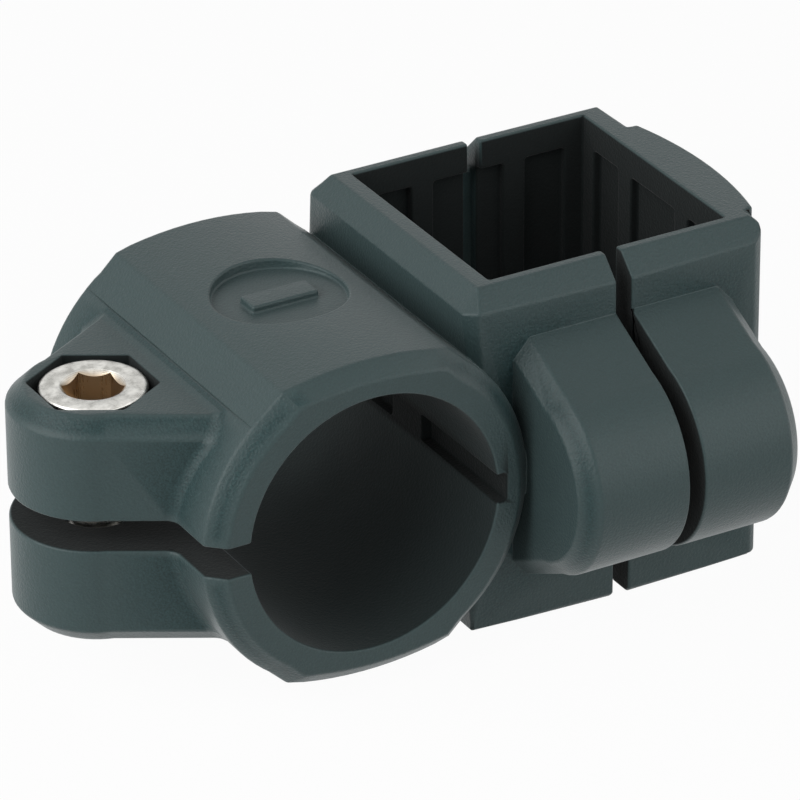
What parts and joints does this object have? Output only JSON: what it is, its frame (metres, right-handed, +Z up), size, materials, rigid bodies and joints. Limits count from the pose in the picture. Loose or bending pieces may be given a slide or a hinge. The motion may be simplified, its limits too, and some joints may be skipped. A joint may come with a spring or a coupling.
{
  "type": "lean tube joint",
  "caption": "Moulded cross joint that clamps a round tube and a square tube at right angles, side by side, with a socket head screw through each split clamp.",
  "frame": {"origin": "on the axis of the round tube, at the middle of its bore", "axes": "+Y along the round bore, from its front end to its back end; +Z up along the square socket; +X from the round clamp's lug to the square clamp"},
  "size_m": [0.0725, 0.0442, 0.035],
  "materials": {
    "body_plastic": "fine moulded grain, glass-fibre filled",
    "screw_steel": "bright stainless",
    "nut_steel": "zinc plated",
    "insert_brass": "turned"
  },
  "bodies": {
    "joint_body": {"clamp_body": "body_plastic", "round_clamp_nut": "nut_steel", "square_clamp_insert": "insert_brass"},
    "round_screw": {"round_clamp_screw": "screw_steel"},
    "square_screw": {"square_clamp_screw": "screw_steel"}
  },
  "joints": [
    {"name": "round_clamp_screw_turn", "type": "hinge", "parent": "joint_body", "child": "round_screw", "pos_m": [-0.0191, 0, 0.0053], "axis": [0, 0, 1], "continuous": true},
    {"name": "square_clamp_screw_turn", "type": "hinge", "parent": "joint_body", "child": "square_screw", "pos_m": [0.03385, -0.017, 0], "axis": [1, 0, 0], "continuous": true}
  ]
}
